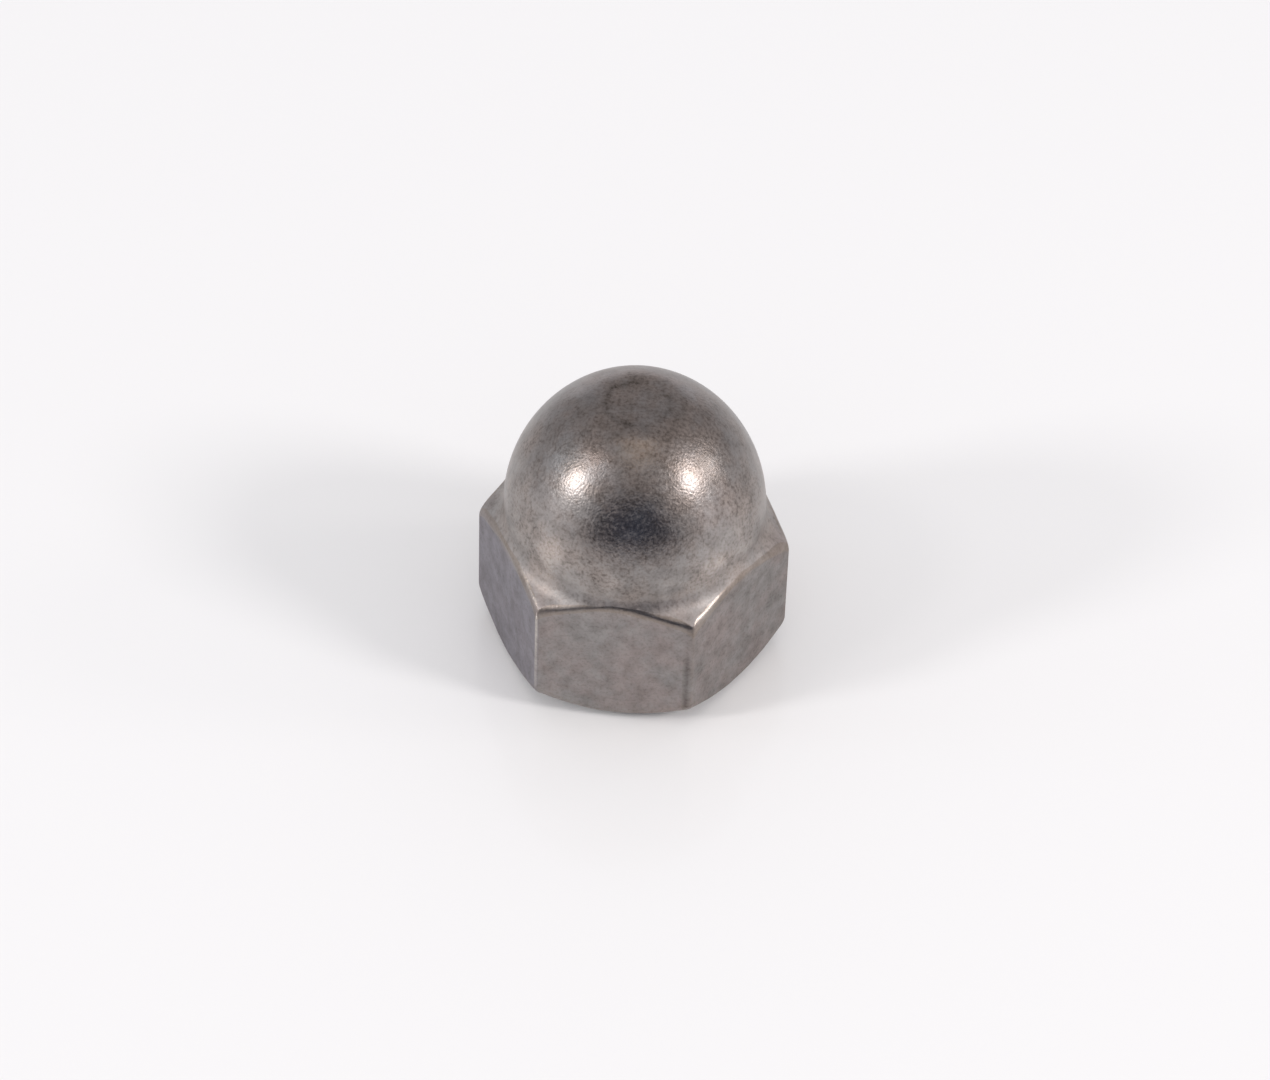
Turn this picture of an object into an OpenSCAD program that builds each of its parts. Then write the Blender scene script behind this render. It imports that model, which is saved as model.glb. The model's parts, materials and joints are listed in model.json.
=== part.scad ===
// Domed cap nut: a hexagon that carries a closed dome over a blind tapped hole.
// Millimetres. The nut stands on its bearing face at z = 0, with its thread axis on Z
// and two of its six flats facing -Y and +Y.

/* [Hexagon] */
// Width across two opposite flats
across_flats = 16; // [14:0.5:20]
// Height of the corners, from the bearing face up to the shoulder's cone
corner_height = 8.2; // [6:0.1:10]
// Slope of the shoulder's cone, in degrees
shoulder_slope = 30; // [20:1:40]
// Radius that blunts each corner where it meets a cone
corner_blunting = 1; // [0.3:0.1:1.5]
// Radius along the six upright edges
edge_radius = 0.2; // [0.1:0.05:0.5]

/* [Bearing face] */
// How far the ring that bears on the work stands inside the flats
seat_inset = 0.7; // [0.2:0.1:1.2]
// Slope of the cone from the bearing face out to the corners, in degrees
seat_slope = 38; // [15:1:40]

/* [Dome] */
// Height from the bearing face to the flat on the crown
overall_height = 18; // [15:0.5:22]
// How far the dome stands inside the flats where it rises from the shoulder
dome_inset = 0.3; // [0.1:0.05:1]
// Radius of the hollow fillet between the shoulder and the dome
fillet_radius = 1.6; // [0.6:0.1:2.2]
// Height that the flat on the crown takes off the dome's tip
crown_cut = 0.45; // [0.2:0.05:0.8]
// Radius of the soft edge round the flat on the crown
crown_edge_radius = 2.7; // [1:0.1:3.3]

/* [Tapped hole] */
// Outside diameter of the thread
thread_d = 10; // [8:0.5:11]
// Pitch of the thread
thread_pitch = 1.5; // [0.75:0.25:1.75]
// Thickness left between the drill's point and the crown
crown_wall = 2.45; // [1:0.05:5]
// Angle of the drill's point, in degrees
drill_point = 118; // [90:1:140]
// How much wider than the thread the countersink is at the mouth
countersink_margin = 0.8; // [0.2:0.1:1.6]
// Angle of the countersink, in degrees
countersink_angle = 120; // [60:5:120]

/* [Hidden] */
$fn = 128;
// How far a cutting shape runs past the face that it cuts
overcut = 1;
// Angle that each step of a turned arc takes, and of an upright edge's small radius
arc_step = 6;
edge_step = 15;

// Hexagon
flat_r = across_flats / 2;
corner_r = flat_r / cos(30);

// Bearing ring, and the centres of the arcs that blunt the corners
seat_r = flat_r - seat_inset;
blunt_x = corner_r - corner_blunting;
lower_blunt_z = seat_z(blunt_x) + corner_blunting / cos(seat_slope);
upper_blunt_z = shoulder_z(blunt_x) - corner_blunting / cos(shoulder_slope);

// Hollow fillet, from its foot on the shoulder's cone to the dome that it runs up into
dome_r = flat_r - dome_inset;
fillet_x = dome_r + fillet_radius;
foot_x = fillet_x - fillet_radius * sin(shoulder_slope);
dome_base = shoulder_z(foot_x) + fillet_radius * cos(shoulder_slope);

// Dome: half an oval of two arcs that meet smoothly, with a flat cut across its tip
dome_rise = overall_height + crown_cut - dome_base;
crown_r = pow(dome_r, 2) / dome_rise;
side_r = dome_rise * (dome_r + dome_rise) / (2 * dome_r);
side_x = dome_r - side_r;
crown_z = dome_base + dome_rise - crown_r;
arcs_meet = atan(2 * dome_r * (dome_r + dome_rise) / (dome_rise * (dome_rise + 2 * dome_r)));
flat_edge_z = overall_height - crown_edge_radius;
crown_flat_r = sqrt(pow(crown_r - crown_edge_radius, 2) - pow(flat_edge_z - crown_z, 2));
flat_begins = atan2(flat_edge_z - crown_z, crown_flat_r);

// Hole: the tapping drill is one pitch under the thread's outside diameter
bore_r = (thread_d - thread_pitch) / 2;
countersink_r = (thread_d + countersink_margin) / 2;
countersink_depth = (countersink_r - bore_r) / tan(countersink_angle / 2);
hole_tip = overall_height - crown_wall;
hole_depth = hole_tip - bore_r / tan(drill_point / 2);

// Height of the shoulder's cone at a radius
function shoulder_z(r) = corner_height + (corner_r - r) * tan(shoulder_slope);

// Height of the bearing face's cone at a radius
function seat_z(r) = (r - seat_r) * tan(seat_slope);

// Points along an arc. Its last point is left out where the next arc begins there.
function arc(x, z, r, from, to, joined = false) =
    let (steps = ceil(abs(to - from) / arc_step))
        [for (i = [0:joined ? steps - 1 : steps])
            let (a = from + (to - from) * i / steps)
                [x + r * cos(a), z + r * sin(a)]];

// Half section of the nut without its hole, as turned: the bearing face, the corners
// between their two cones, the hollow flare, the dome's two arcs, and the crown's flat
turned_section = concat(
    [[0, 0], [seat_r, 0]],
    arc(blunt_x, lower_blunt_z, corner_blunting, seat_slope - 90, 0),
    arc(blunt_x, upper_blunt_z, corner_blunting, 0, 90 - shoulder_slope),
    arc(fillet_x, dome_base, fillet_radius, 270 - shoulder_slope, 180, joined = true),
    arc(side_x, dome_base, side_r, 0, arcs_meet, joined = true),
    arc(0, crown_z, crown_r, arcs_meet, flat_begins, joined = true),
    arc(crown_flat_r, flat_edge_z, crown_edge_radius, flat_begins, 90),
    [[0, overall_height]]
);

// The hexagonal bar, with a small radius along each upright edge
module hexagon_bar() {
    edge_x = (flat_r - edge_radius) / cos(30);
    translate([0, 0, -overcut]) linear_extrude(overall_height + 2 * overcut) polygon([
        for (corner = [0:5], turn = [-30:edge_step:30])
            let (a = 60 * corner)
                edge_x * [cos(a), sin(a)] + edge_radius * [cos(a + turn), sin(a + turn)]
    ]);
}

// The hole at the thread's tapping size: countersink, drilled wall and drill point
module tapped_hole() {
    mouth_r = countersink_r + overcut * tan(countersink_angle / 2);
    rotate_extrude() polygon([
        [0, -overcut],
        [mouth_r, -overcut],
        [bore_r, countersink_depth],
        [bore_r, hole_depth],
        [0, hole_tip]
    ]);
}

module cap_nut() {
    color("silver") difference() {
        intersection() {
            rotate_extrude() polygon(turned_section);
            hexagon_bar();
        }
        tapped_hole();
    }
}

cap_nut();
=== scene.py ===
"""Looks of a domed cap nut: one turned body with its tapped hole, tumbled steel, and a plain studio."""
import json
import math

import bpy
import numpy as np
from bpy.props import FloatProperty, PointerProperty, StringProperty
from mathutils import Matrix, Vector


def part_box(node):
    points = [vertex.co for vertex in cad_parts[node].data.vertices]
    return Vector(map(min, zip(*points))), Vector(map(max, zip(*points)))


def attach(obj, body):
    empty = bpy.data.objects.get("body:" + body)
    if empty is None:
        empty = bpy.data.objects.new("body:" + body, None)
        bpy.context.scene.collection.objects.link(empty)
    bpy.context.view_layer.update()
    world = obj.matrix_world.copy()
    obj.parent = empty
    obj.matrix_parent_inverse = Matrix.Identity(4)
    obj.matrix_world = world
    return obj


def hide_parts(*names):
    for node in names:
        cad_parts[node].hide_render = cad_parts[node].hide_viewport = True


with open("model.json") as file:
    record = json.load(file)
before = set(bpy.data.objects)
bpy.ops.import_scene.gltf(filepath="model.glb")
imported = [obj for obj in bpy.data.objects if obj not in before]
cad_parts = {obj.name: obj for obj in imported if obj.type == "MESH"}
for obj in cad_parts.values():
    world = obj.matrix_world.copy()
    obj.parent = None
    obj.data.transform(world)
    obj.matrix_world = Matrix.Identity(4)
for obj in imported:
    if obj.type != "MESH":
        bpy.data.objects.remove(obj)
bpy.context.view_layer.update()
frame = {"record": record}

bl_info = {
    "name": "Domed cap nut",
    "version": (1, 0, 0),
    "blender": (4, 5, 0),
    "location": "View3D > Sidebar > Cap nut",
    "description": "Builds a domed cap nut with its tapped hole, its tumbled steel and a plain studio",
    "category": "Add Mesh",
}

MM = 0.001
NODE = "cap_nut"
WORN = "worn"
low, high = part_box(NODE)
mounts = {mount["name"]: mount for mount in frame["record"]["mounts"]}


def millimetres(name, description, default):
    """A length that a user would change, given here in millimetres."""
    return FloatProperty(name=name, description=description, default=default * MM, unit="LENGTH", precision=5)


def degrees(name, description, default):
    """An angle that a user would change, given here in degrees."""
    return FloatProperty(name=name, description=description, default=math.radians(default), unit="ROTATION")


def fraction(name, description, default):
    """A share from 0 to 1 that a user would change."""
    return FloatProperty(
        name=name, description=description, default=default, min=0.0, max=1.0, subtype="FACTOR"
    )


def shade(name, description, default):
    """A colour that a user would change, given as its sRGB hex value."""
    return StringProperty(name=name, description=description, default=default)


class NutSizes(bpy.types.PropertyGroup):
    """Sizes of the nut's section and thread."""

    across_flats: FloatProperty(
        name="Across flats", description="Width across two opposite flats", default=high.y - low.y,
        unit="LENGTH",
    )
    overall_height: FloatProperty(
        name="Overall height", description="Bearing face to the flat on the crown", default=high.z - low.z,
        unit="LENGTH",
    )
    corner_height: millimetres("Corner height", "Height where the shoulder's cone would meet a corner", 8.2)
    shoulder_slope: degrees("Shoulder slope", "Slope of the shoulder's cone", 30)
    corner_blunting: millimetres("Corner blunting", "Radius that blunts a corner where it meets a cone", 1.0)
    upright_radius: millimetres("Upright edge", "Radius along the six upright edges", 0.2)
    seat_inset: millimetres("Seat inset", "How far the bearing ring stands inside the flats", 0.7)
    seat_slope: degrees("Seat slope", "Slope of the cone from the bearing face out to the corners", 38)
    dome_inset: millimetres("Dome inset", "How far the dome stands inside the flats at its foot", 0.3)
    fillet_radius: millimetres("Hollow fillet", "Radius between the shoulder and the dome", 1.6)
    crown_cut: millimetres("Crown cut", "Height that the crown's flat takes off the dome's tip", 0.45)
    crown_edge: millimetres("Crown edge", "Radius of the soft edge round the crown's flat", 2.7)
    worn_edge: millimetres("Worn edge", "How far tumbling has rounded the edges of cones and flats", 0.27)
    thread_diameter: millimetres("Thread diameter", "Outside diameter of the thread", 10.0)
    thread_pitch: millimetres("Thread pitch", "Distance from one turn of the thread to the next", 1.5)
    mouth_diameter: millimetres("Countersink mouth", "Diameter of the countersink in the bearing face", 10.8)
    mouth_angle: degrees("Countersink angle", "Full angle of the countersink", 120)
    crown_wall: millimetres("Crown wall", "Metal left between the drill's point and the crown", 2.45)
    drill_point: degrees("Drill point", "Full angle of the drill's point", 118)


class SteelFinish(bpy.types.PropertyGroup):
    """Colours, gloss and grain of the steel."""

    # The crown's darker, browner tone is painted shade: the dark ceiling that the dome mirrors. Which of the
    # two it takes comes from the steel's own patchiness.
    shaded_crown_warm: shade("Warm crown", "Crown of the dome, browned", "827771")
    shaded_crown_cool: shade("Cool crown", "Crown of the dome, clean", "807B79")
    foot_warm: shade("Warm foot", "Foot of the dome, browned", "ACA29C")
    foot_cool: shade("Cool foot", "Foot of the dome, clean", "A9A4A1")
    hexagon_warm: shade("Warm hexagon", "Hexagon and shoulder, browned", "AAA09D")
    hexagon_cool: shade("Cool hexagon", "Hexagon and shoulder, clean", "A7A3A1")
    # Painted shade: the cooler, darker colour that the flat to the left takes, as if in bluish shade.
    clean: shade("Clean flat", "The one flat that is cleaner than the rest", "939098")
    # Painted highlight: the bright line down one upright edge.
    painted_highlight: shade("Rubbed edge", "The one upright edge that is rubbed bright", "DCD6D0")
    worn: shade("Worn edges", "Edges that tumbling has polished", "857769")
    # This dark colour serves real residue and stains, and also the painted shade on the flat to the right and
    # in the hollow at the dome's foot.
    grime_and_shade: shade("Grime", "Polishing residue held in hollows and pits", "453E39")
    cut: shade("Cut steel", "Turned and tapped faces inside", "99928C")

    dome_roughness: fraction("Dome roughness", "Satin gloss that tumbling leaves on the dome", 0.32)
    hexagon_roughness: fraction("Hexagon roughness", "Duller gloss of the shoulder and the flats", 0.56)
    edge_roughness: fraction("Edge roughness", "Gloss of the worn edges", 0.35)
    cut_roughness: fraction("Cut roughness", "Gloss of the turned and tapped faces", 0.3)
    edge_tint: fraction("Edge tint", "How far a fully worn edge takes the worn edges' colour", 0.45)

    grain: millimetres("Grain", "Width of the fine pits that the tumbling stones leave", 0.13)
    dome_pits: fraction("Dome pits", "Depth of the pits on the dome, as a share of width", 0.068)
    hexagon_pits: fraction("Hexagon pits", "Depth of the pits on the hexagon, as a share of width", 0.06)
    speck: millimetres("Speck", "Width of the fine dark specks", 0.2)
    warm_specks: fraction("Specks on browned steel", "Strength of the specks on the browned dome", 0.6)
    cool_specks: fraction("Specks on clean steel", "Strength of the specks on the clean dome", 0.3)
    hexagon_specks: fraction("Specks on the hexagon", "Strength of the specks on shoulder and flats", 0.28)
    mottle: millimetres("Mottle", "Width of the small patches of tone", 1.0)
    patch_residue: fraction("Patches", "Most residue in the small patches", 0.28)
    cloud: millimetres("Cloud", "Width of the broad warm and cool patches", 3.2)
    tool_mark: millimetres("Tool marks", "Distance between the rings that the turning tool leaves", 0.16)


class SteelZones(bpy.types.PropertyGroup):
    """Heights and places on the nut where the tumbled finish changes, and how much residue and painted
    shade they hold.
    """

    foot_begins: millimetres("Foot begins", "Height where the tone begins to turn to the foot's", 8.3)
    foot_full: millimetres("Foot reached", "Height where the tone of the dome's foot is reached", 9.1)
    gloss_begins: millimetres("Gloss begins", "Height where the dome's gloss, pits and specks begin", 8.4)
    gloss_full: millimetres("Gloss reached", "Height where the dome's gloss, pits and specks are full", 11.2)
    # Heights where the tone turns to the crown's painted shade.
    crown_begins: millimetres("Crown begins", "Height where the tone begins to turn to the crown's", 11.0)
    crown_full: millimetres("Crown reached", "Height where the crown's tone is reached", 18.0)
    flat_begins: millimetres("Flat begins", "Distance from the axis where a flat's own tone begins", 7.8)
    flat_full: millimetres("Flat reached", "Distance from the axis where a flat's own tone is reached", 7.98)
    # How far the flat to the left takes its painted shade.
    left_flat_shade_share: fraction("Clean flat", "How far the clean flat takes its own colour", 0.8)
    # Painted shade that darkens the flat to the right.
    right_flat_shade: fraction("Dull flat", "Residue on the flat to the right", 0.13)
    # How dark the band beside the upright edge on the right is.
    upright_dark_band: fraction("Upright residue", "Residue beside the upright edge on the right", 0.34)
    # A darker thin ring round the crown's flat.
    ring_radius: millimetres("Ring radius", "Radius of the ring of residue round the crown's flat", 1.86)
    ring_width: millimetres("Ring width", "How far the ring reaches to either side", 0.34)
    ring_darkening: fraction("Ring residue", "Most residue in the ring", 0.42)
    # Painted shade in the hollow at the dome's foot, mottled like residue.
    hollow_shade_and_residue: fraction("Hollow residue", "Most residue in the hollow at the dome's foot", 0.12)


class StudioSettings(bpy.types.PropertyGroup):
    """Camera, lamps and floor. Nothing here is part of the nut."""

    turn: degrees("Camera turn", "Turn of the camera round the nut, from straight in front of a flat", 6.457)
    rise: degrees("Camera rise", "How far the camera looks down", 44.66)
    lean: degrees("Camera lean", "How far the nut's axis leans to the right in the view", 1.986)
    distance: millimetres("Camera distance", "From the camera to the point that it looks at", 318.6)
    aim_height: millimetres("Aim height", "Height of the point that the camera looks at", 6.96)
    aim_side: millimetres("Aim side", "How far that point is right of the nut's axis", 0.09)
    lens: FloatProperty(
        name="Lens", description="Focal length of the camera", default=153.18, subtype="DISTANCE_CAMERA"
    )
    floor: shade("Floor", "Colour of the floor", "EFEFEF")
    world: shade("Surroundings", "Colour of the room's plain light", "D7D7DB")
    card: shade("Dark card", "Colour of the dark card that the dome mirrors", "122C50")


def linear(hex_colour):
    """Linear colour of an sRGB hex value, by the standard curve: a straight line near black and a power
    above it."""
    channels = np.array([int(hex_colour[i:i + 2], 16) for i in (0, 2, 4)]) / 255
    curve = np.where(channels <= 0.04045, channels / 12.92, ((channels + 0.055) / 1.055) ** 2.4)
    return (*curve.tolist(), 1.0)


# ---- Mesh helpers ----

def arc(x, z, radius, start, end, steps):
    """Points of a circle's arc in the section's plane: centre plus radius times cosine and sine of the angle,
    with the angle going evenly from start to end, in radians."""
    angle = np.linspace(start, end, steps + 1)
    return np.column_stack([x + radius * np.cos(angle), z + radius * np.sin(angle)])


def joined(*runs):
    """One outline from runs that meet end to start, with each shared point kept once."""
    return np.vstack([runs[0]] + [run[1:] for run in runs[1:]])


def length_along(outline):
    """Distance walked along an outline at each of its points: the running sum of its steps."""
    steps = np.hypot(*np.diff(outline, axis=0).T)
    return np.concatenate([[0.0], np.cumsum(steps)])


def at_length(outline, distance):
    """Radius and height at given distances along an outline, by straight interpolation between its points."""
    walked = length_along(outline)
    return np.stack([np.interp(distance, walked, outline[:, k]) for k in (0, 1)], axis=-1)


def soft_corner(before, corner, after, steps):
    """Rows that round a corner: a parabola from before to after whose two tangents meet at the corner."""
    share = np.linspace(0, 1, steps + 1)[1:-1, None, None]
    return (1 - share) ** 2 * before + 2 * share * (1 - share) * corner + share ** 2 * after


def between(first, last, shares):
    """Rows on the straight line from first to last, at given shares of the way."""
    shares = np.asarray(shares)[:, None, None]
    return first * (1 - shares) + last * shares


def hexagon_radius(angle, flat_r, corner_round):
    """Distance from the axis to a hexagon with flats facing +Y and -Y: flat_r over the cosine of the angle
    from the nearest flat's middle, and within each rounded corner the far side of a small circle."""
    from_flat = (angle + math.pi / 2 + math.pi / 6) % (math.pi / 3) - math.pi / 6
    from_corner = math.pi / 6 - np.abs(from_flat)
    centre = (flat_r - corner_round) / math.cos(math.pi / 6)
    half_chord = np.sqrt(np.maximum(corner_round ** 2 - (centre * np.sin(from_corner)) ** 2, 0))
    round_r = centre * np.cos(from_corner) + half_chord
    round_begins = math.atan2((flat_r - corner_round) * math.tan(math.pi / 6), flat_r)
    return np.where(np.abs(from_flat) > round_begins, round_r, flat_r / np.cos(from_flat))


def half_corner(sizes):
    """Half the angle, seen from the axis, that the rounding of an upright edge takes up."""
    flat_r = sizes.across_flats / 2
    return math.pi / 6 - math.atan2((flat_r - sizes.upright_radius) * math.tan(math.pi / 6), flat_r)


def columns_round(sizes):
    """Angles of the mesh's columns: close together over each rounded corner, wider across each flat."""
    half = half_corner(sizes)
    flat_starts = 1.35 * half
    corner_columns, flat_columns = 9, 37
    corner = np.linspace(-half, half, corner_columns)
    flat = np.linspace(flat_starts, math.pi / 3 - flat_starts, flat_columns)
    return np.concatenate([side * math.pi / 3 + np.concatenate([corner, flat]) for side in range(6)])


def closed_mesh(name, rows, angle, top, bottom, cut_from, worn):
    """A closed mesh from rows of (radius, height) turned to their columns' angles: quads between neighbouring
    rows, and a fan of triangles to the top point and to the bottom one. Faces from row cut_from on take
    slot 1. worn is how worn each point of the rows is, and goes into an attribute that the steel reads."""
    count, across = rows.shape[:2]
    radius, height = rows[..., 0], rows[..., 1]
    ring = np.stack([radius * np.cos(angle), radius * np.sin(angle), height], axis=-1).reshape(-1, 3)
    points = np.vstack([ring, [[0, 0, top]], [[0, 0, bottom]]])
    here = np.arange(across)
    following = (here + 1) % across
    first = np.arange(count - 1)[:, None] * across
    below = first + across
    quads = np.stack([first + here, below + here, below + following, first + following], -1)
    peak, pit, last = count * across, count * across + 1, (count - 1) * across
    cap = np.stack([np.full(across, peak), here, following], -1)
    tip = np.stack([np.full(across, pit), last + following, last + here], -1)
    mesh = bpy.data.meshes.new(name)
    mesh.from_pydata(points, [], quads.reshape(-1, 4).tolist() + cap.tolist() + tip.tolist())
    quad_slots = np.repeat(np.arange(count - 1) >= cut_from, across)
    slots = np.concatenate([quad_slots, np.zeros(across), np.ones(across)])
    mesh.polygons.foreach_set("material_index", slots.astype(np.int32))
    wear = mesh.attributes.new(WORN, "FLOAT", "POINT")
    wear.data.foreach_set("value", np.concatenate([worn.ravel(), [0, 0]]).astype(np.float32))
    mesh.shade_smooth()
    mesh.validate()
    return mesh


# ---- Shape of the nut ----

def outside_rows(sizes, angle):
    """Rows of the outside from the crown to the bearing face's edge. The turned section, which is the crown's
    flat, its soft edge, the dome's two arcs, the hollow fillet and the shoulder's cone, runs out at each
    angle only as far as the hexagon's radius there. The flat goes straight down from that point to the lower
    cone."""
    flat_r = sizes.across_flats / 2
    corner_r = flat_r / math.cos(math.pi / 6)
    rise_out, rise_in = math.tan(sizes.shoulder_slope), math.tan(sizes.seat_slope)
    seat_r = flat_r - sizes.seat_inset
    blunt, blunt_x = sizes.corner_blunting, corner_r - sizes.corner_blunting
    upper_blunt_z = sizes.corner_height + blunt * rise_out - blunt / math.cos(sizes.shoulder_slope)
    lower_blunt_z = (blunt_x - seat_r) * rise_in + blunt / math.cos(sizes.seat_slope)

    dome_r = flat_r - sizes.dome_inset
    fillet_x = dome_r + sizes.fillet_radius
    foot_x = fillet_x - sizes.fillet_radius * math.sin(sizes.shoulder_slope)
    foot_z = sizes.corner_height + (corner_r - foot_x) * rise_out
    dome_base = foot_z + sizes.fillet_radius * math.cos(sizes.shoulder_slope)
    dome_rise = sizes.overall_height + sizes.crown_cut - dome_base
    crown_r = dome_r ** 2 / dome_rise
    side_r = dome_rise * (dome_r + dome_rise) / (2 * dome_r)
    crown_z = dome_base + dome_rise - crown_r
    arcs_meet = math.atan2(2 * dome_r * (dome_r + dome_rise), dome_rise * (dome_rise + 2 * dome_r))
    edge_z = sizes.overall_height - sizes.crown_edge
    flat_end = math.sqrt((crown_r - sizes.crown_edge) ** 2 - (edge_z - crown_z) ** 2)
    edge_ends = math.atan2(edge_z - crown_z, flat_end)

    first_ring, flat_rings = 0.12 * flat_end, 8
    crown_flat = np.column_stack([
        np.linspace(first_ring, flat_end, flat_rings), np.full(flat_rings, sizes.overall_height),
    ])
    dome = joined(
        crown_flat,
        arc(flat_end, edge_z, sizes.crown_edge, math.pi / 2, edge_ends, 8),
        arc(0, crown_z, crown_r, edge_ends, arcs_meet, 6),
        arc(dome_r - side_r, dome_base, side_r, arcs_meet, 0, 26),
    )
    fine = 60
    skirt = np.vstack([
        arc(fillet_x, dome_base, sizes.fillet_radius, math.pi, 1.5 * math.pi - sizes.shoulder_slope, fine),
        arc(blunt_x, upper_blunt_z, blunt, math.pi / 2 - sizes.shoulder_slope, 0, fine),
    ])
    lower_cone = np.vstack([
        [[seat_r, 0.0]],
        arc(blunt_x, lower_blunt_z, blunt, sizes.seat_slope - math.pi / 2, 0, fine),
    ])

    clip_r = hexagon_radius(angle, flat_r, sizes.upright_radius)
    wear = sizes.worn_edge * edge_wear(angle)
    upper_end = np.interp(clip_r, skirt[:, 0], length_along(skirt))
    lower_end = np.interp(clip_r, lower_cone[:, 0], length_along(lower_cone))
    upper_corner = np.stack([clip_r, at_length(skirt, upper_end)[:, 1]], -1)
    lower_corner = np.stack([clip_r, at_length(lower_cone, lower_end)[:, 1]], -1)
    down = np.stack([np.zeros_like(wear), wear], -1)
    flat_top, flat_bottom = upper_corner - down, lower_corner + down

    skirt_steps, cone_steps = 30, 8
    share = np.linspace(0, 1, skirt_steps + 1)[1:, None]
    skirt_rows = at_length(skirt, (upper_end - wear) * share)
    share = np.linspace(1, 0, cone_steps + 1)[:, None]
    seat_wear = 0.5 * sizes.worn_edge
    cone_rows = at_length(lower_cone, seat_wear + (lower_end - wear - seat_wear) * share)
    seat_corner = np.broadcast_to([seat_r, 0.0], cone_rows[-1].shape)
    seat_edge = np.broadcast_to([seat_r - seat_wear, 0.0], cone_rows[-1].shape)

    plain, slight, full, upright_most = 0.0, 0.3, 1.0, 0.25
    upright_spread = 1.6
    from_corner = np.abs((angle + math.pi / 6) % (math.pi / 3) - math.pi / 6)
    upright = upright_most * np.clip(upright_spread - from_corner / half_corner(sizes), 0, 1)
    down_the_flat = [0.012, 0.04, 0.1, 0.3, 0.5, 0.7, 0.9, 0.96, 0.988]
    stretches = [
        (np.repeat(dome[:, None], len(angle), axis=1), plain),
        (skirt_rows[:-1], plain),
        (skirt_rows[-1:], full),
        (soft_corner(skirt_rows[-1], upper_corner, flat_top, 6), full),
        (flat_top[None], full),
        (between(flat_top, flat_bottom, down_the_flat), upright),
        (flat_bottom[None], slight),
        (soft_corner(flat_bottom, lower_corner, cone_rows[0], 6), slight),
        (cone_rows[:1], slight),
        (cone_rows[1:-1], plain),
        (cone_rows[-1:], full),
        (soft_corner(cone_rows[-1], seat_corner, seat_edge, 4), full),
    ]
    rows = np.concatenate([part for part, _ in stretches])
    worn = np.concatenate([np.broadcast_to(value, part.shape[:2]) for part, value in stretches])
    return rows, worn


def edge_wear(angle):
    """How much each stretch of an edge is worn, about 1: more towards the six corners and less along the
    flats' middles. Three runs of smaller waves round the nut are added, each with its height, a whole number
    of waves so that they close, and its start."""
    towards_corners = 0.3
    runs = ((0.1, 5, 0.4), (0.1, 13, 2.1), (0.08, 29, 4.0))
    waves = sum(height * np.sin(count * angle + start) for height, count, start in runs)
    return 1 + towards_corners * np.cos(6 * angle) + waves


def hole_rows(sizes, angle, seat_edge_r):
    """Rows of the bearing ring and the tapped hole. At height z and angle a, the place across the thread's
    groove is the fractional part of z over pitch less a over a full turn. The flanks slope by 30 degrees from
    the groove's flat bottom, an eighth of the pitch wide. The wall is never nearer the axis than the tapping
    drill's wall or the countersink, and the groove is never deeper than the tap's tapered lead."""
    bore_r = mounts["thread"]["dims"]["r_mm"] * MM
    thread_r, pitch = sizes.thread_diameter / 2, sizes.thread_pitch
    mouth_r, mouth_spread = sizes.mouth_diameter / 2, math.tan(sizes.mouth_angle / 2)
    tip_z = sizes.overall_height - sizes.crown_wall
    wall_end = tip_z - bore_r / math.tan(sizes.drill_point / 2)
    untapped, lead_length = 0.4 * pitch, 2 * pitch
    lead_end = wall_end - untapped
    lead_begins = lead_end - lead_length

    mouth_wear = 0.25 * sizes.worn_edge
    ring_rows = 7
    ring = np.column_stack([np.linspace(seat_edge_r, mouth_r + mouth_wear, ring_rows), np.zeros(ring_rows)])
    ring = np.repeat(ring[:, None], len(angle), axis=1)

    rows_per_pitch = 22
    count = int(round(lead_end / pitch * rows_per_pitch))
    height = np.linspace(mouth_wear / mouth_spread, lead_end, count)[:, None]
    turn = (height / pitch - angle / math.tau) % 1
    groove_half, flank_slope = pitch / 16, math.radians(30)
    beside_groove = np.maximum(np.abs(turn - 0.5) * pitch - groove_half, 0)
    groove = thread_r - beside_groove / math.tan(flank_slope)
    lead = thread_r + (bore_r - thread_r) * (height - lead_begins) / (lead_end - lead_begins)
    countersink = mouth_r - height * mouth_spread
    wall = np.maximum(np.maximum(np.minimum(groove, lead), bore_r), countersink)
    thread = np.stack([wall, height + 0 * wall], -1)

    last_ring = 0.04
    top, shoulder = np.array([[bore_r, lead_end], [bore_r, wall_end]])
    point = np.array([last_ring * bore_r, tip_z - last_ring * (tip_z - wall_end)])
    down_the_wall, down_the_point = [0.35, 0.7, 0.97], [0, 0.03, 0.25, 0.5, 0.75, 1]
    drilled = np.concatenate([
        between(top, shoulder, down_the_wall), between(shoulder, point, down_the_point),
    ])
    drilled = np.repeat(drilled, len(angle), axis=1)
    return np.concatenate([ring, thread, drilled]), tip_z


# ---- Material helpers ----

def socket_of(sockets, wanted):
    """The socket in use with the wanted name, or the one at the wanted number. With no wish, the first in
    use."""
    if isinstance(wanted, int):
        return sockets[wanted]
    return next(socket for socket in sockets if socket.enabled and wanted in (None, socket.name))


def add_node(tree, kind, links=(), **settings):
    """Adds a node to tree and returns it. settings are its properties. links are (input, source) pairs, and
    a source is a plain value, an output socket, or a node that gives its first output in use."""
    node = tree.nodes.new(kind)
    for name, value in settings.items():
        setattr(node, name, value)
    for wanted, source in links:
        socket = socket_of(node.inputs, wanted)
        if isinstance(source, bpy.types.Node):
            source = socket_of(source.outputs, None)
        if isinstance(source, bpy.types.NodeSocket):
            tree.links.new(source, socket)
        else:
            socket.default_value = source
    return node


def bare_material(name):
    """A new material that holds only its output node. Returns it with its node tree and that node."""
    material = bpy.data.materials.new(name)
    material.use_nodes = True
    material.node_tree.nodes.clear()
    return material, material.node_tree, material.node_tree.nodes.new("ShaderNodeOutputMaterial")


# ---- Materials ----

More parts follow.
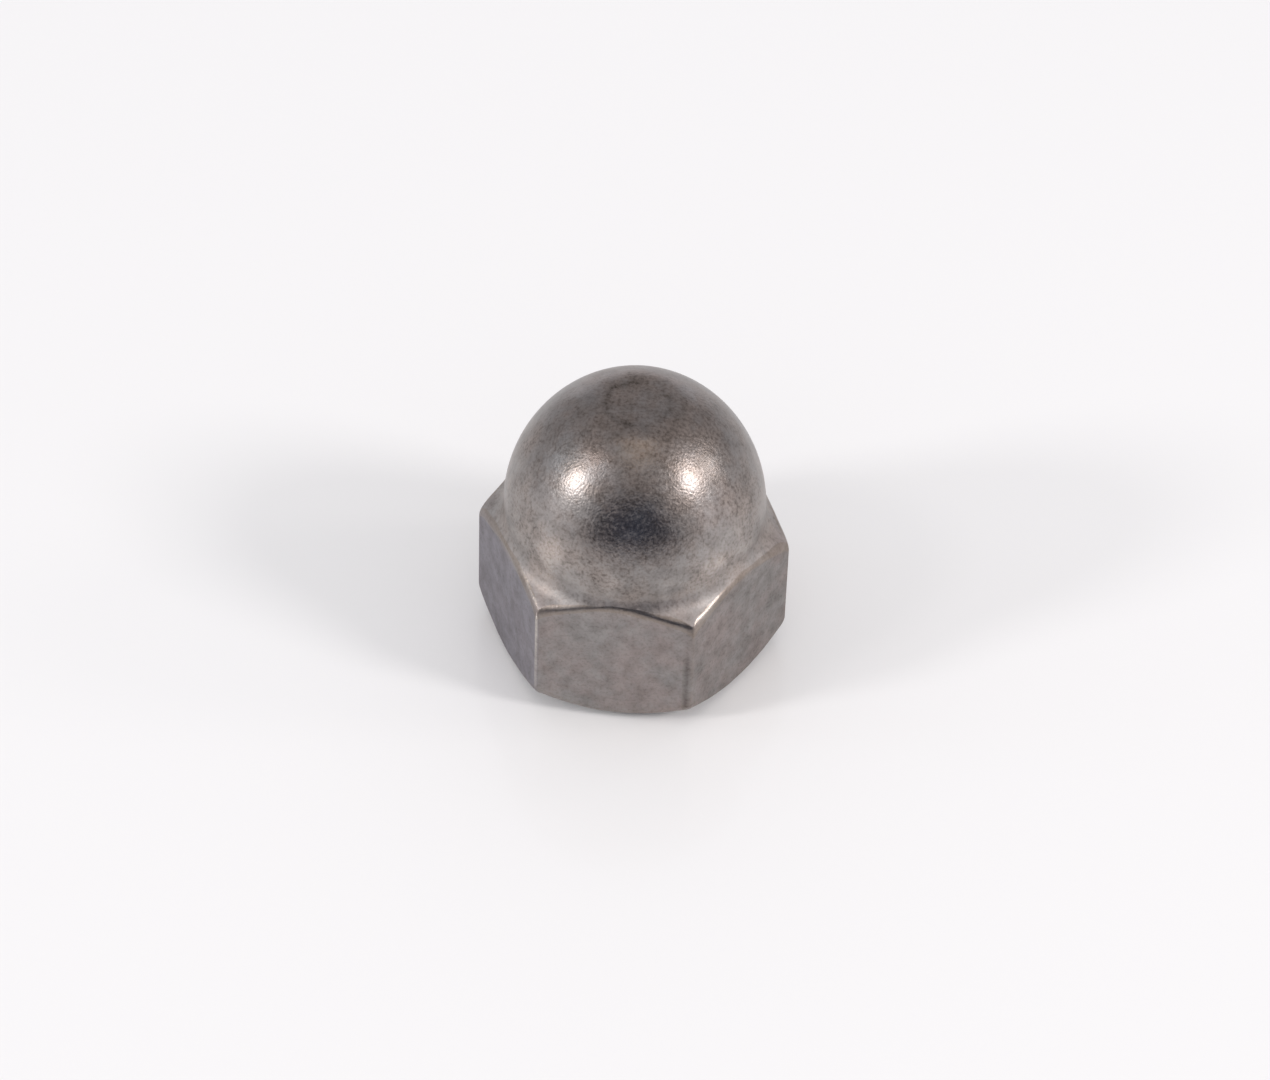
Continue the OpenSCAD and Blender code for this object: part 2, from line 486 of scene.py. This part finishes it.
def tumbled_stainless_steel(finish, zones):
    """Stainless steel, turned and then tumbled with stones. Tumbling gives a satin gloss with a fine pitted
    grain that glints, and polishes the edges. The steel is a soft patchwork of warmer and cooler grey, with a
    little polishing residue in patches and specks. It carries painted shade too: darker and browner towards
    the crown, on two flats and in the hollow at the dome's foot, and a painted highlight down one upright
    edge."""
    material, tree, output = bare_material("tumbled_stainless_steel")
    place = add_node(tree, "ShaderNodeTexCoord").outputs["Object"]
    height = add_node(tree, "ShaderNodeSeparateXYZ", [("Vector", place)]).outputs["Z"]
    edge = add_node(tree, "ShaderNodeAttribute", attribute_name=WORN).outputs["Fac"]
    on_dome = add_node(tree, "ShaderNodeMapRange", [
        ("Value", height), ("From Min", zones.gloss_begins), ("From Max", zones.gloss_full),
    ])
    speck = add_node(tree, "ShaderNodeTexNoise", [
        ("Vector", place), ("Scale", 1 / finish.speck), ("Detail", 2.0), ("Roughness", 0.6),
    ])
    colour = steel_colour(tree, finish, zones, place, height, on_dome, speck)
    edge_tint = add_node(tree, "ShaderNodeMath", [(0, edge), (1, finish.edge_tint)], operation="MULTIPLY")
    colour = add_node(tree, "ShaderNodeMix", [
        ("Factor", edge_tint), ("A", colour), ("B", linear(finish.worn)),
    ], data_type="RGBA")

    gloss = add_node(tree, "ShaderNodeMapRange", [
        ("Value", on_dome), ("To Min", finish.hexagon_roughness), ("To Max", finish.dome_roughness),
    ])
    uneven = add_node(tree, "ShaderNodeMapRange", [
        ("Value", speck), ("From Min", 0.5), ("From Max", 0.3), ("To Min", -0.01), ("To Max", 0.1),
    ])
    gloss = add_node(tree, "ShaderNodeMath", [(0, gloss), (1, uneven)], operation="ADD")
    rough = add_node(tree, "ShaderNodeMix", [("Factor", edge), ("A", gloss), ("B", finish.edge_roughness)])
    pits = add_node(tree, "ShaderNodeTexNoise", [
        ("Vector", place), ("Scale", 1 / finish.grain), ("Detail", 0.0),
    ])
    depth = add_node(tree, "ShaderNodeMapRange", [
        ("Value", on_dome),
        ("To Min", finish.hexagon_pits * finish.grain),
        ("To Max", finish.dome_pits * finish.grain),
    ])
    pitted = add_node(tree, "ShaderNodeMath", [(0, pits), (1, depth)], operation="MULTIPLY")
    bump = add_node(tree, "ShaderNodeBump", [("Height", pitted), ("Distance", 1.0), ("Strength", 1.0)])
    steel = add_node(tree, "ShaderNodeBsdfPrincipled", [
        ("Base Color", colour), ("Metallic", 1.0), ("Roughness", rough), ("Normal", bump),
    ])
    tree.links.new(steel.outputs["BSDF"], output.inputs["Surface"])
    return material


def steel_colour(tree, finish, zones, place, height, on_dome, speck):
    """Colour of the tumbled outside. Broad clouds choose between a warm and a cool tone for each zone, and
    the zones run into each other with height. The crown's tone is darker, which is painted shade. The flat to
    the left takes a cooler, darker colour and the flat to the right is darkened, both painted shade. One
    upright edge carries a painted highlight, brightest at its top, and a darker band lies beside another.
    Residue darkens the steel in small patches and in specks that are strongest where the dome is browned. A
    thin ring round the crown is darker, and the hollow at the dome's foot holds painted shade mottled like
    residue."""
    cloud = add_node(tree, "ShaderNodeTexNoise", [
        ("Vector", place), ("Scale", 1 / finish.cloud), ("Detail", 5.0), ("Roughness", 0.7),
    ])
    warmth = add_node(tree, "ShaderNodeMapRange", [("Value", cloud), ("From Min", 0.4), ("From Max", 0.6)])
    hexagon, foot, crown = [
        add_node(tree, "ShaderNodeMix", [
            ("Factor", warmth), ("A", linear(cool)), ("B", linear(warm)),
        ], data_type="RGBA")
        for cool, warm in (
            (finish.hexagon_cool, finish.hexagon_warm),
            (finish.foot_cool, finish.foot_warm),
            (finish.shaded_crown_cool, finish.shaded_crown_warm),
        )
    ]
    # Painted shade: the flat to the left turns cooler and darker.
    shaded_left_flat = reaching(tree, place, -60, zones.flat_begins, zones.flat_full, zones.left_flat_shade_share)
    hexagon = add_node(tree, "ShaderNodeMix", [
        ("Factor", shaded_left_flat), ("A", hexagon), ("B", linear(finish.clean)),
    ], data_type="RGBA")
    foot_share = add_node(tree, "ShaderNodeMapRange", [
        ("Value", height), ("From Min", zones.foot_begins), ("From Max", zones.foot_full),
    ])
    # Painted shade: the tone darkens towards the crown.
    crown_share = add_node(tree, "ShaderNodeMapRange", [
        ("Value", height), ("From Min", zones.crown_begins), ("From Max", zones.crown_full),
    ])
    tone = add_node(tree, "ShaderNodeMix", [
        ("Factor", foot_share), ("A", hexagon), ("B", foot),
    ], data_type="RGBA")
    tone = add_node(tree, "ShaderNodeMix", [
        ("Factor", crown_share), ("A", tone), ("B", crown),
    ], data_type="RGBA")
    # Painted highlight: a thin bright line down the upright edge at the left of the front flat, brightest at
    # its top.
    highlight_begins, highlight_full, edge_top = 9.165 * MM, 9.2 * MM, 8.2 * MM
    highlight_most = add_node(tree, "ShaderNodeMapRange", [
        ("Value", height), ("From Max", edge_top), ("To Min", 0.1), ("To Max", 0.9),
    ])
    on_edge = reaching(tree, place, -30, highlight_begins, highlight_full)
    painted_highlight = add_node(tree, "ShaderNodeMath", [(0, on_edge), (1, highlight_most)], operation="MULTIPLY")
    tone = add_node(tree, "ShaderNodeMix", [
        ("Factor", painted_highlight), ("A", tone), ("B", linear(finish.painted_highlight)),
    ], data_type="RGBA")

    mottle = add_node(tree, "ShaderNodeTexNoise", [("Vector", place), ("Scale", 1 / finish.mottle)])
    patches = add_node(tree, "ShaderNodeMapRange", [
        ("Value", mottle), ("From Min", 0.36), ("From Max", 0.7), ("To Max", finish.patch_residue),
    ])
    speck_share = add_node(tree, "ShaderNodeMapRange", [
        ("Value", speck), ("From Min", 0.42), ("From Max", 0.75),
    ])
    dome_specks = add_node(tree, "ShaderNodeMapRange", [
        ("Value", warmth), ("To Min", finish.cool_specks), ("To Max", finish.warm_specks),
    ])
    strength = add_node(tree, "ShaderNodeMapRange", [
        ("Value", on_dome), ("To Min", finish.hexagon_specks), ("To Max", dome_specks),
    ])
    specks = add_node(tree, "ShaderNodeMath", [(0, speck_share), (1, strength)], operation="MULTIPLY")
    residue = add_node(tree, "ShaderNodeMath", [(0, patches), (1, specks)], operation="ADD")
    # Added to the residue: painted shade on the flat to the right, a darker band beside an upright edge, a
    # darker ring round the crown, and painted shade in the hollow at the dome's foot.
    for more in (
        reaching(tree, place, 60, zones.flat_begins, zones.flat_full, zones.right_flat_shade),
        upright_dark_band(tree, zones, place, height),
        crown_ring(tree, zones, place, height, mottle),
        hollow_shade_and_residue(tree, zones, height, mottle),
    ):
        residue = add_node(tree, "ShaderNodeMath", [(0, residue), (1, more)], operation="ADD")
    return add_node(tree, "ShaderNodeMix", [
        ("Factor", residue), ("A", tone), ("B", linear(finish.grime_and_shade)),
    ], data_type="RGBA")


def reaching(tree, place, turn, begins, ends, most=1.0):
    """Share from 0 to most as a point's distance from the nut's axis, measured towards turn, goes from begins
    to ends. turn is in degrees from the front flat round towards +X."""
    outwards = add_node(tree, "ShaderNodeVectorMath", [
        (0, place), (1, direction(math.radians(turn), 0)),
    ], operation="DOT_PRODUCT")
    return add_node(tree, "ShaderNodeMapRange", [
        ("Value", outwards), ("From Min", begins), ("From Max", ends), ("To Max", most),
    ])


def upright_dark_band(tree, zones, place, height):
    """A darker soft band on the front flat, close beside its upright edge on the right. It begins below
    the flat's top and goes on down to the seat. Each limit is a direction in degrees from the front flat, and
    the distances from the axis that way where the band begins and where it is full."""
    band_top, band_full = 7.5 * MM, 5 * MM
    inner_side, edge_side = (30, 8.93 * MM, 9.06 * MM), (30, 9.19 * MM, 9.1 * MM)
    front_flat = (0, 7.93 * MM, 7.99 * MM)
    share = add_node(tree, "ShaderNodeMapRange", [
        ("Value", height), ("From Min", band_top), ("From Max", band_full), ("To Max", zones.upright_dark_band),
    ])
    for limit in (inner_side, edge_side, front_flat):
        within = reaching(tree, place, *limit)
        share = add_node(tree, "ShaderNodeMath", [(0, share), (1, within)], operation="MULTIPLY")
    return share


def crown_ring(tree, zones, place, height, mottle):
    """Darkening in a thin ring at the rim of the crown's flat. It is strongest at the ring's radius, runs out
    by the ring's width either side of it, and comes and goes with the mottle."""
    level_place = add_node(tree, "ShaderNodeVectorMath", [(0, place), (1, (1, 1, 0))], operation="MULTIPLY")
    radius = add_node(tree, "ShaderNodeVectorMath", [(0, level_place)], operation="LENGTH")
    beside = add_node(tree, "ShaderNodeMath", [(0, radius), (1, zones.ring_radius)], operation="SUBTRACT")
    beside = add_node(tree, "ShaderNodeMath", [(0, beside)], operation="ABSOLUTE")
    near = add_node(tree, "ShaderNodeMapRange", [
        ("Value", beside), ("From Max", zones.ring_width), ("To Min", 1.0), ("To Max", 0.0),
    ])
    patchy = add_node(tree, "ShaderNodeMapRange", [
        ("Value", mottle), ("From Min", 0.36), ("From Max", 0.64),
        ("To Min", 0.05), ("To Max", zones.ring_darkening),
    ])
    ring_lowest, ring_full = 16.5 * MM, 17.2 * MM
    on_crown = add_node(tree, "ShaderNodeMapRange", [
        ("Value", height), ("From Min", ring_lowest), ("From Max", ring_full),
    ])
    near = add_node(tree, "ShaderNodeMath", [(0, near), (1, patchy)], operation="MULTIPLY")
    return add_node(tree, "ShaderNodeMath", [(0, near), (1, on_crown)], operation="MULTIPLY")


def hollow_shade_and_residue(tree, zones, height, mottle):
    """Painted shade in the hollow at the dome's foot, mottled like residue. It begins on the fillet, runs out
    up the dome, and comes and goes with the mottle."""
    fillet_low, fillet_high = 9.6 * MM, 10.2 * MM
    fade_from, fade_to = 10 * MM, 12 * MM
    begins = add_node(tree, "ShaderNodeMapRange", [
        ("Value", height), ("From Min", fillet_low), ("From Max", fillet_high),
    ])
    runs_out = add_node(tree, "ShaderNodeMapRange", [
        ("Value", height), ("From Min", fade_from), ("From Max", fade_to), ("To Min", 1.0), ("To Max", 0.0),
    ])
    patchy = add_node(tree, "ShaderNodeMapRange", [
        ("Value", mottle), ("From Min", 0.35), ("From Max", 0.65), ("To Max", zones.hollow_shade_and_residue),
    ])
    band = add_node(tree, "ShaderNodeMath", [(0, begins), (1, runs_out)], operation="MULTIPLY")
    return add_node(tree, "ShaderNodeMath", [(0, band), (1, patchy)], operation="MULTIPLY")


def cut_stainless_steel(finish):
    """Stainless steel as the turning tool and the tap leave it. Fine rings follow the tool round the axis,
    spaced like the marks of a coarse feed, so that they show. It is glossier than the tumbled flats, and
    stained in places."""
    material, tree, output = bare_material("cut_stainless_steel")
    place = add_node(tree, "ShaderNodeTexCoord").outputs["Object"]
    level_place = add_node(tree, "ShaderNodeVectorMath", [(0, place), (1, (1, 1, 0))], operation="MULTIPLY")
    radius = add_node(tree, "ShaderNodeVectorMath", [(0, level_place)], operation="LENGTH")
    wave = math.tau / finish.tool_mark
    phase = add_node(tree, "ShaderNodeMath", [(0, radius), (1, wave)], operation="MULTIPLY")
    rings = add_node(tree, "ShaderNodeMath", [(0, phase)], operation="SINE")
    mottle = add_node(tree, "ShaderNodeTexNoise", [
        ("Vector", place), ("Scale", 1 / finish.mottle), ("Detail", 3.0),
    ])
    ring_depth, uneven_depth = 0.002 * MM, 0.02 * MM
    uneven = add_node(tree, "ShaderNodeMath", [(0, mottle), (1, uneven_depth)], operation="MULTIPLY")
    height = add_node(tree, "ShaderNodeMath", [
        (0, rings), (1, ring_depth), (2, uneven),
    ], operation="MULTIPLY_ADD")
    bump = add_node(tree, "ShaderNodeBump", [("Height", height), ("Distance", 1.0), ("Strength", 1.0)])
    stain = add_node(tree, "ShaderNodeMapRange", [
        ("Value", mottle), ("From Min", 0.5), ("From Max", 0.8), ("To Max", 0.5),
    ])
    tone = add_node(tree, "ShaderNodeMix", [
        ("Factor", stain), ("A", linear(finish.cut)), ("B", linear(finish.grime_and_shade)),
    ], data_type="RGBA")
    steel = add_node(tree, "ShaderNodeBsdfPrincipled", [
        ("Base Color", tone), ("Metallic", 1.0), ("Roughness", finish.cut_roughness), ("Normal", bump),
    ])
    tree.links.new(steel.outputs["BSDF"], output.inputs["Surface"])
    return material


def smooth_board(colour):
    """Pale laminated board. Its satin face gives the nut a plain ground, keeps its shadow, and mirrors the
    lamps softly, which the foot of the dome shows."""
    material, tree, output = bare_material("laminated_board")
    board = add_node(tree, "ShaderNodeBsdfPrincipled", [
        ("Base Color", linear(colour)), ("Roughness", 0.16), ("Specular IOR Level", 0.6),
    ])
    tree.links.new(board.outputs["BSDF"], output.inputs["Surface"])
    return material


# ---- Operators ----

class OBJECT_OT_cap_nut_body(bpy.types.Operator):
    """Builds the nut's one body, outside and tapped hole, in tumbled steel."""

    bl_idname = "object.cap_nut_body"
    bl_label = "Nut body"

    def execute(self, context):
        scene = context.scene
        sizes, finish, zones = scene.cap_nut_sizes, scene.cap_nut_finish, scene.cap_nut_zones
        angle = columns_round(sizes)
        outside, worn = outside_rows(sizes, angle)
        just_inside_rim = outside[-1, 0, 0] - 0.01 * MM
        hole, tip_z = hole_rows(sizes, angle, just_inside_rim)
        rows = np.concatenate([outside, hole])
        worn = np.concatenate([worn, np.zeros(hole.shape[:2])])
        mesh = closed_mesh("nut_body", rows, angle, sizes.overall_height, tip_z, len(outside) - 1, worn)
        mesh.materials.append(tumbled_stainless_steel(finish, zones))
        mesh.materials.append(cut_stainless_steel(finish))
        body = bpy.data.objects.new("nut_body", mesh)
        scene.collection.objects.link(body)
        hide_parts(NODE)
        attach(body, "root")
        return {"FINISHED"}


class SCENE_OT_cap_nut_studio(bpy.types.Operator):
    """Sets the floor, the lamps, the surroundings and the camera."""

    bl_idname = "scene.cap_nut_studio"
    bl_label = "Studio"

    def execute(self, context):
        studio = context.scene.cap_nut_studio
        add_floor(context.scene, studio)
        add_card(context.scene, studio)
        add_lamps(context.scene, studio)
        add_world(context.scene, studio)
        add_camera(context.scene, studio)
        return {"FINISHED"}


def direction(turn, rise):
    """Unit vector away from the nut: turn goes round from the front flat towards +X, and rise goes up from
    the floor, both in radians."""
    return Vector((math.sin(turn) * math.cos(rise), -math.cos(turn) * math.cos(rise), math.sin(rise)))


def facing(place, target):
    """Placement of a lamp, card or camera that looks from place to target with its top upwards."""
    turn = (target - place).to_track_quat("-Z", "Y")
    return Matrix.Translation(place) @ turn.to_matrix().to_4x4()


def add_floor(scene, studio):
    """A wide square board under the nut."""
    half = 1.5
    corners = [(-half, -half, 0), (half, -half, 0), (half, half, 0), (-half, half, 0)]
    mesh = bpy.data.meshes.new("floor")
    mesh.from_pydata(corners, [], [(0, 1, 2, 3)])
    mesh.materials.append(smooth_board(studio.floor))
    floor = bpy.data.objects.new("floor", mesh)
    scene.collection.objects.link(floor)


def add_card(scene, studio):
    """The dark shape of the camera and its stand, which the dome mirrors. Only reflections see it."""
    foot, head, height = 1.3, 0.45, 0.52
    distance, rise = 0.6, math.radians(14)
    material, tree, output = bare_material("dark_card")
    dark = add_node(tree, "ShaderNodeEmission", [("Color", linear(studio.card)), ("Strength", 1.0)])
    tree.links.new(dark.outputs["Emission"], output.inputs["Surface"])
    corners = [
        (-foot / 2, -height / 2, 0), (foot / 2, -height / 2, 0),
        (head / 2, height / 2, 0), (-head / 2, height / 2, 0),
    ]
    mesh = bpy.data.meshes.new("camera_card")
    mesh.from_pydata(corners, [], [(0, 1, 2, 3)])
    mesh.materials.append(material)
    card = bpy.data.objects.new("camera_card", mesh)
    card.matrix_world = facing(distance * direction(studio.turn, rise), Vector())
    for rays in ("camera", "diffuse", "shadow", "transmission", "volume_scatter"):
        setattr(card, "visible_" + rays, False)
    scene.collection.objects.link(card)


def add_lamps(scene, studio):
    """Nine soft lamps with round or oval faces that look at the nut. One stands on each side of the camera,
    with dimmer ones further round and one above the left one. A wide one hangs overhead, and three low wide
    ones are pale walls at the left, at the right and behind. Each row gives the turn from the camera and the
    rise in degrees, the distance, width and height in metres, the watts and the colour."""
    lamps = {
        "left_lamp": (-68.6, 27.5, 0.9, 0.16, 0.16, 2.0, "FFFDFC"),
        "upper_lamp": (-64, 47, 0.9, 0.14, 0.14, 0.43, "FFF7F6"),
        "left_tail": (-94, 26, 0.9, 0.2, 0.2, 0.18, "D5EEFF"),
        "right_lamp": (69, 34.5, 0.9, 0.22, 0.22, 2.5, "FFFBFA"),
        "right_tail": (94, 26, 0.9, 0.18, 0.18, 0.55, "FFF8F3"),
        "zenith": (15, 80, 1.0, 0.6, 0.6, 0.72, "FFEDD5"),
        "left_wall": (-75, 2, 1.2, 0.9, 0.6, 0.62, "FFFBFD"),
        "right_wall": (78, 6, 1.2, 0.9, 0.6, 0.75, "FFF9FC"),
        "back_wall": (180, 6, 1.2, 1.4, 0.5, 1.05, "FAF9FF"),
    }
    for name, (turn, rise, distance, width, height, watts, colour) in lamps.items():
        light = bpy.data.lights.new(name, "AREA")
        light.shape, light.size, light.size_y = "ELLIPSE", width, height
        light.energy, light.color = watts, linear(colour)[:3]
        lamp = bpy.data.objects.new(name, light)
        towards = direction(studio.turn + math.radians(turn), math.radians(rise))
        lamp.matrix_world = facing(distance * towards, Vector())
        scene.collection.objects.link(lamp)


def add_world(scene, studio):
    """One plain colour all round."""
    world = bpy.data.worlds.new("plain_room")
    world.use_nodes = True
    background = world.node_tree.nodes["Background"]
    background.inputs["Color"].default_value = linear(studio.world)
    background.inputs["Strength"].default_value = 1.0
    scene.world = world


def add_camera(scene, studio):
    """A long lens that looks down at the nut. The view leans a little about its own axis."""
    data = bpy.data.cameras.new("camera")
    data.lens, data.clip_start = studio.lens, 0.01
    camera = bpy.data.objects.new("camera", data)
    back = direction(studio.turn, studio.rise)
    right = Vector((0, 0, 1)).cross(back).normalized()
    target = Vector((0, 0, studio.aim_height)) + studio.aim_side * right
    upright_view = facing(target + studio.distance * back, target)
    camera.matrix_world = upright_view @ Matrix.Rotation(studio.lean, 4, "Z")
    scene.collection.objects.link(camera)
    scene.camera = camera
    scene.view_settings.view_transform = "Standard"


class VIEW3D_PT_cap_nut(bpy.types.Panel):
    """Lists the nut's sizes and finish and the studio, with a button to build each."""

    bl_label = "Cap nut"
    bl_space_type = "VIEW_3D"
    bl_region_type = "UI"
    bl_category = "Cap nut"

    def draw(self, context):
        scene = context.scene
        groups = (
            (OBJECT_OT_cap_nut_body, (scene.cap_nut_sizes, scene.cap_nut_finish, scene.cap_nut_zones)),
            (SCENE_OT_cap_nut_studio, (scene.cap_nut_studio,)),
        )
        for operator, holders in groups:
            box = self.layout.box()
            for holder in holders:
                for name in holder.__annotations__:
                    box.prop(holder, name)
            box.operator(operator.bl_idname)


CLASSES = (
    NutSizes, SteelFinish, SteelZones, StudioSettings,
    OBJECT_OT_cap_nut_body, SCENE_OT_cap_nut_studio, VIEW3D_PT_cap_nut,
)
HOLDERS = {
    "cap_nut_sizes": NutSizes,
    "cap_nut_finish": SteelFinish,
    "cap_nut_zones": SteelZones,
    "cap_nut_studio": StudioSettings,
}


def register():
    for item in CLASSES:
        bpy.utils.register_class(item)
    for name, group in HOLDERS.items():
        setattr(bpy.types.Scene, name, PointerProperty(type=group))


def unregister():
    for name in HOLDERS:
        delattr(bpy.types.Scene, name)
    for item in reversed(CLASSES):
        bpy.utils.unregister_class(item)


def main():
    """Registers the classes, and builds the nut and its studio."""
    register()
    bpy.ops.object.cap_nut_body()
    bpy.ops.scene.cap_nut_studio()


if __name__ == "__main__":
    main()
